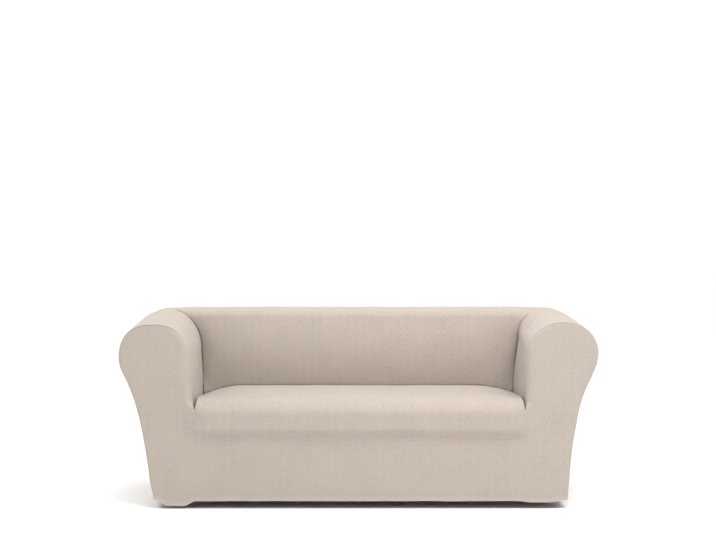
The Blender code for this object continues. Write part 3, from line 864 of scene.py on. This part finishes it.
def seat_top():
    """The seat's rows from the back to its front edge, with its tucked sides."""
    # The middle line, and the way out of the seat along it
    depths, heights, tucks = (np.array(column) for column in zip(*SEAT))
    keys = np.append(0, np.cumsum(np.hypot(np.diff(depths), np.diff(heights))))
    at = np.linspace(0, keys[-1], SEAT_ROWS + 1)[:, None]
    depth, height = curve_through(keys, depths, at), curve_through(keys, heights, at)
    tuck = clamp(curve_through(keys, tucks, at))
    back, up = np.gradient(depth, axis=0), np.gradient(height, axis=0)
    length = np.hypot(back, up)
    rear = smooth((depth - FACE_DEPTH) / REAR_RUN + 1)
    forward, upward = up / length * (1 - rear), mix(-back / length, 1.0, rear)

    # The top, which drops towards the arms and rounds over at its front corners
    side = clamp((abs(SHARES) - CROWN_START) / (1 - CROWN_START))
    corner = clamp((abs(SHARES) - SEAT_CORNER_START) / (1 - SEAT_CORNER_START))
    front = 1 - smooth((depth - FRONT_DEPTH) / FRONT_FADE)
    crown = by_side(*CROWN_DROPS) * clamp((depth - FRONT_DEPTH) / CROWN_RUN)
    rounded = SEAT_CORNER_DROP * (1 - np.sqrt(1 - corner**2)) * front
    drop = crown * side**CROWN_POWER + rounded
    drop = drop * tuck
    y, z = depth - forward * drop, height - upward * drop
    inset = SIDE_INSET * tuck
    x = SHARES * (by_side(*(inner_reach(arm, y) for arm in ARMS)) - inset)
    y = y + (front_depth(x, z) - front_depth(0.0, z)) * (1 - tuck)
    top = np.stack([x, y, z], axis=2)

    # The flaps down beside the arms
    sides = []
    steps = np.array(TUCK_STEPS)
    turned = smooth(steps / TUCK_TURN)
    for arm, end in zip(ARMS, (top[:, :1], top[:, -1:])):
        y = end[:, :, 1] - forward * TUCK_DEPTH * tuck * steps
        y[0] = mix(end[0, :, 1], FACE_DEPTH - TUCK_GAP, turned)
        z = end[:, :, 2] - upward * TUCK_DEPTH * tuck * steps
        reach = inner_reach(arm, y) - mix(inset, TUCK_GAP, turned)
        reach = mix(arm.foot, reach, smooth(tuck / TUCK_RUN_OUT))
        sides.append(np.stack([arm.side * reach, y, z], axis=2))
    return np.concatenate([sides[0][:, ::-1], top, sides[1]], axis=1)


# The apron, from the hem up to where the seat's front begins
panel = Sheet()
level = LOWER_LEVELS[:, None]
across = SHARES * by_side(*(arm.foot for arm in ARMS)) + 0 * level
height = follow_hem(level, front_hem(across))
apron = np.stack([across, front_depth(across, height), height], axis=2)
apron = turned_in(apron, REARWARD)
panel.lay(apron, apron[:, :, 0], hemmed(level - HEM_HEIGHT))

# The seat and its front, with the flaps tucked down beside the arms
seat = seat_top()
edge = len(TUCK_STEPS)
seat[-1, :edge], seat[-1, -edge:] = apron[-1, 0], apron[-1, -1]
seat[-1, edge:-edge] = apron[-1]
along = run(seat[::-1], 0)[::-1] + TUCK_START - HEM_HEIGHT
across = run(seat, 1)
# Painted shade lies beside the tucks and along the seat's rear, where it meets the inside back
beside = np.minimum(across - across[:, [edge]], across[:, [-1 - edge]] - across)
behind = np.maximum(run(seat, 0) - CONTACT_RUN, 0)
tucked = np.minimum(1, np.linspace(0, 1, len(seat))[::-1, None] / SIDE_MARK_RUN) * SIDE_MARK
seam = np.minimum(faded(np.maximum(beside, 0), tucked), behind)
across = across - across[:, across.shape[1] // 2][:, None]
panel.lay(seat, across, along, seam, flip=True)

# The flap tucked down under the inside back
rear = [seat[0, edge:-edge]]
for number, step in enumerate(TUCK_STEPS):
    row = rear[0].copy()
    row[:, 1] = mix(row[:, 1], FACE_DEPTH - TUCK_GAP, smooth(step / TUCK_TURN))
    row[:, 2] = mix(row[:, 2], seat[0, 0, 2], step)
    row[0], row[-1] = seat[0, edge - 1 - number], seat[0, number - edge]
    rear.append(row)
rear = np.array(rear[::-1])
behind = run(rear[::-1], 0)[::-1] + along[0, edge:-edge]
panel.lay(rear, rear[:, :, 0], behind, seam=0, flip=True)

SEAT_FOLDS = [
    Fold((-0.66, 0.02, 0.43), (-0.40, 0.10, 0.446), 0.030, -0.0014),
    Fold((0.66, 0.02, 0.43), (0.42, 0.12, 0.446), 0.030, -0.0012),
    Fold((-0.60, -0.02, 0.30), (0.60, -0.02, 0.30), 0.030, -0.0014),
]
piece = panel.cut("seat_cloth", SEAT_FOLDS)
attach(piece, "root")
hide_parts("seat_panel")

# ---- Arm fronts -------------------------------------------------------------------------------
# An arm front is a flat panel cut to the arm's outline. It is sewn to the arm on the rounded edge
# and to the apron below the seat's corner, and hemmed at its foot.

FACING_COLUMNS = 34
FACING_BLEND = 0.25
FACING_FOLDS = {
    "left": [Fold((-0.70, -0.01, 0.39), (-0.80, 0.0, 0.10), 0.035, 0.0012)],
    "right": [Fold((0.70, -0.01, 0.37), (0.80, 0.0, 0.12), 0.035, 0.0012)],
}

for arm in ARMS:
    # The rounded edge, from the seam to the flat of the front
    angles = np.linspace(SEAM_ANGLE, END_ANGLE, ROUND_STEPS + 1)
    level = LOWER_LEVELS[:, None]
    ring = front_edge(arm, angles)
    along = ring[:, :, 2] - HEM_HEIGHT
    along[: CORNER + 1] = level - HEM_HEIGHT
    panel = Sheet()
    edge = turned_in(ring, around(angles, arm.side, 1))
    seam = faded(run(edge, 1), front_seam_shown(arm))
    panel.lay(edge, edge[:, :, 0], hemmed(along), seam, flip=arm.side > 0)

    # The flat, from its outer side across to the apron's edge and the inside arm
    outer = ring[: TOP + 1, -1:]
    reach = np.full_like(level[:-1], arm.side * arm.foot)
    height = follow_hem(level[:-1], front_hem(reach))
    apron_edge = np.stack([reach, front_depth(reach, height), height], axis=2)
    inner = np.concatenate([apron_edge, ring[TOP:, -1:][::-1]])
    share = np.linspace(0, 1, FACING_COLUMNS + 1)[None, :, None]
    face = mix(outer, inner, share)
    own = follow_hem(level, front_hem(face[: CORNER + 1, :, 0]))
    held = 1 - smooth(share[:, :, 0] / FACING_BLEND)
    straight = own + (outer[: CORNER + 1, :, 2] - own[:, :1]) * held
    face[: CORNER + 1, 1:, 2] = straight[:, 1:]
    face[:, 1:-1, 1] = front_depth(face[:, 1:-1, 0], face[:, 1:-1, 2])
    along = face[:, :, 2] - HEM_HEIGHT
    along[: CORNER + 1] = level - HEM_HEIGHT
    face = turned_in(face, REARWARD)
    panel.lay(face, face[:, :, 0], hemmed(along), flip=arm.side > 0)

    piece = panel.cut(f"{arm.name}_arm_front_cloth", FACING_FOLDS[arm.name])
    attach(piece, "root")
    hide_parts(f"{arm.name}_arm_front")

# ---- Inside back ------------------------------------------------------------------------------
# The inside back rises from its tuck behind the seat and rolls over the top to the rear seam. It
# is pushed into a crease beside each arm, which closes up towards the top.

# How full the back's face is, and how it rounds into the mouth of the crease beside each arm
FACE_FULLNESS = 0.024
FACE_FLATNESS = 8
MOUTH_WIDTH = 0.003
MOUTH_ROUND = 0.007
MOUTH_START = 0.92
MOUTH_FADE = 0.060
MOUTH_CLOSED = 1e-3
BACK_FOLDS = [
    Fold((0.66, 0.60, 0.66), (0.52, 0.58, 0.46), 0.045, -0.0022),
    Fold((-0.66, 0.60, 0.64), (-0.58, 0.58, 0.46), 0.035, -0.0014),
]


def spread_row(first, second):
    """Rows of points across the cover, between the ends that both arms give them."""
    reach = by_side(-first[:, :, 0], second[:, :, 0])
    rest = mix(first[:, :, 1:], second[:, :, 1:], RIGHTWARD[None, :, None])
    return np.concatenate([(SHARES * reach)[:, :, None], rest], axis=2)


# The face, from its top down into the tuck behind the seat
far_back = np.full((1, 1), REAR_DEPTH)
sections = [arm_section(arm, far_back)[TOP:] for arm in ARMS]
mouths = [open_crease(arm) for arm in ARMS]
beside_arms = mix(sections[0][:, :, 1], sections[1][:, :, 1], RIGHTWARD)
level = mix(*(eased(arm) for arm in ARMS), RIGHTWARD)
shoulder = smooth((1 - abs(SHARES)) / SHOULDER_SHARE)
height = mix(beside_arms, level, shoulder)
mouth = by_side(*mouths)
reach = by_side(*(section[:, :, 0] for section in sections)) - MOUTH_WIDTH * mouth
near = clamp((abs(SHARES) - MOUTH_START) / (1 - MOUTH_START))
rounding = MOUTH_ROUND * mouth * near**2 * smooth((height - FACE_FOOT) / MOUTH_FADE)
bulge = np.sin(np.pi * clamp((height - FACE_FOOT) / (BACK_TOP - FACE_FOOT)))
bulge = FACE_FULLNESS * (1 - abs(SHARES) ** FACE_FLATNESS) * bulge
face = np.stack([SHARES * reach, face_depth(level) - bulge + rounding, height], axis=2)

# The corner beside each arm is filled out, and a flap goes into its crease where that is open
flaps = []
for arm, mouth, end in zip(ARMS, mouths, (0, -1)):
    near = bridge_share(abs(face[:, end, 0][:, None] - face[:, :, 0]))
    lifted = bridged(arm)[:, None, :]
    face = face + lifted * near[:, :, None]
    flap = np.repeat(arm_points(arm, far_back, -TUCK_GAP)[TOP:], len(TUCK_STEPS) + 1, axis=1)
    flap[:, :, 1] = face_depth(eased(arm)) + TUCK_DEPTH * mouth * np.append(0, TUCK_STEPS)
    flap = flap + lifted
    closed = mouth[:, 0] < MOUTH_CLOSED
    flap[closed] = face[closed, end][:, None]
    flap[:, 0] = face[:, end]
    flaps.append(flap)
face = face[::-1]

# The top, from the face back to the rear seam
ends = []
for arm in ARMS:
    tops = np.append(FACE_TOP_DEPTH, TOP_DEPTHS)[None, :]
    angles = np.linspace(SIDE_ANGLE, SEAM_ANGLE, ROUND_STEPS + 1)[1:]
    row = np.concatenate([arm_points(arm, tops), rear_edge(arm, angles)], axis=1)[TOP]
    ends.append(row[:, None])
over = spread_row(*ends)
top_rise = (BACK_TOP - beside_arms[0]) * shoulder
over[:, :, 2] += top_rise
face[-1] = over[0]
whole = np.concatenate([face, over[1:]])

# How far each point is from the creases, the seat and the rear seam, which places their painted
# shade
along = run(whole, 0)
inwards = run(whole, 1)
marks = [crease_mark(arm)[::-1] for arm in ARMS]
marks = [np.concatenate([mark, np.repeat(mark[-1:], len(over) - 1, axis=0)]) for mark in marks]
seam = np.minimum(faded(inwards, marks[0]), faded(inwards[:, -1:] - inwards, marks[1]))
crest = seat[:CONTACT_ROWS, len(TUCK_STEPS) : -len(TUCK_STEPS), 2].max(axis=0)
seam = np.minimum(seam, np.maximum(whole[:, :, 2] - crest + CONTACT_DROP, 0))
seam = np.minimum(seam, run(whole[::-1], 0)[::-1])
panel = Sheet()
panel.lay(whole, whole[:, :, 0], along, seam)
for arm, flap in zip(ARMS, flaps):
    beside = along[: len(face), 0 if arm.side < 0 else -1][::-1, None]
    seam = faded(0.0, crease_mark(arm))
    panel.lay(flap, flap[:, :, 0] + arm.side * run(flap, 1), beside, seam, flip=arm.side > 0)

piece = panel.cut("inside_back_cloth", BACK_FOLDS)
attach(piece, "root")
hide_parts("inside_back")

# ---- Outside back -----------------------------------------------------------------------------
# The outside back is a plain flat panel behind the arms and the back. Its sides and its top are
# sewn to them on a rounded edge, and its foot is hemmed.

REAR_FOLDS = [
    Fold((-0.86, 0.83, 0.70), (-0.20, 0.83, 0.52), 0.060, 0.0016),
    Fold((0.86, 0.83, 0.68), (0.30, 0.83, 0.50), 0.060, 0.0014),
    Fold((-0.70, 0.83, 0.10), (0.10, 0.83, 0.16), 0.070, -0.0014),
]

# The rounded edges beside the arms, from the seams to the flat of the back
angles = np.linspace(SEAM_ANGLE, END_ANGLE, ROUND_STEPS + 1)
panel = Sheet()
rings = [rear_edge(arm, angles)[: TOP + 1] for arm in ARMS]
for arm, ring in zip(ARMS, rings):
    edge = turned_in(ring, around(angles, arm.side, -1))
    along = hemmed(ring[:, :, 2] - HEM_HEIGHT)
    panel.lay(edge, edge[:, :, 0], along, run(edge, 1), flip=arm.side < 0)

# The flat of the back, and the rounded edge along its top
flat = spread_row(*(ring[:, -1:] for ring in rings))
flat[:, :, 2] += top_rise * smooth((np.arange(TOP + 1)[:, None] - CENTRE) / ROLL_STEPS)
along = hemmed(flat[:, :, 2] - HEM_HEIGHT)
flat = turned_in(flat, -REARWARD)
panel.lay(flat, flat[:, :, 0], along, flip=True)
over = spread_row(*(ring[TOP][::-1, None] for ring in rings))
over[:, :, 2] += top_rise
from_seam = run(over[::-1], 0)[::-1]
panel.lay(over, over[:, :, 0], over[:, :, 2] - HEM_HEIGHT, from_seam, flip=True)

piece = panel.cut("outside_back_cloth", REAR_FOLDS)
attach(piece, "root")
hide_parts("outside_back")

# ---- Floor, light and camera ------------------------------------------------------------------
# A plain white floor and surround. A broad soft lamp hangs overhead, a second stands in front on
# the right, and a weak one at the left lightens the shadow there. The camera is square to the
# front, a little above the arms.

FLOOR_SIZE = 60.0
PAPER_FINISH = {
    "Base Color": (0.955, 0.955, 0.955, 1),
    "Roughness": 0.9,
    "Specular IOR Level": 0.1,
}
SURROUND_COLOUR = (1, 1, 1, 1)
SURROUND_STRENGTH = 1.05
Lamp = namedtuple("Lamp", "name place aim width height power")
LAMPS = [
    Lamp("overhead", (0.25, -0.5, 3.0), (0.25, -0.2, 0.0), 3.0, 2.4, 50),
    Lamp("front", (1.1, -2.4, 2.4), (0.4, 0.2, -0.3), 2.4, 1.6, 86),
    Lamp("left", (-2.4, 0.5, 1.5), (-1.3, 0.2, -0.7), 1.6, 1.2, 14),
]
CAMERA_PLACE = (0.0, -7.625, 0.392)
CAMERA_LENS = 86.4
CAMERA_TILT = math.radians(1.67)

floor_mesh = bpy.data.meshes.new("floor")
half = FLOOR_SIZE / 2
corners = [(-half, -half), (half, -half), (half, half), (-half, half)]
floor_mesh.from_pydata([(x, y, -ORIGIN[2]) for x, y in corners], [], [(0, 1, 2, 3)])
floor = bpy.data.objects.new("floor", floor_mesh)
bpy.context.scene.collection.objects.link(floor)
paper = bpy.data.materials.new("white_paper")
paper.use_nodes = True
paper_shader = paper.node_tree.nodes["Principled BSDF"]
for name, value in PAPER_FINISH.items():
    paper_shader.inputs[name].default_value = value
floor_mesh.materials.append(paper)

world = bpy.data.worlds.new("surround")
world.use_nodes = True
background = world.node_tree.nodes["Background"]
background.inputs["Color"].default_value = SURROUND_COLOUR
background.inputs["Strength"].default_value = SURROUND_STRENGTH
bpy.context.scene.world = world
bpy.context.scene.view_settings.view_transform = "Standard"

for lamp in LAMPS:
    light = bpy.data.lights.new(lamp.name, "AREA")
    light.shape = "RECTANGLE"
    light.size = lamp.width
    light.size_y = lamp.height
    light.energy = lamp.power
    holder = bpy.data.objects.new(lamp.name, light)
    holder.location = lamp.place
    way = Vector(lamp.aim) - Vector(lamp.place)
    holder.rotation_euler = way.to_track_quat("-Z", "Y").to_euler()
    holder.visible_camera = False
    bpy.context.scene.collection.objects.link(holder)

camera_data = bpy.data.cameras.new("camera")
camera_data.lens = CAMERA_LENS
camera = bpy.data.objects.new("camera", camera_data)
camera.location = CAMERA_PLACE
camera.rotation_euler = (math.radians(90) - CAMERA_TILT, 0, 0)
bpy.context.scene.collection.objects.link(camera)
bpy.context.scene.camera = camera
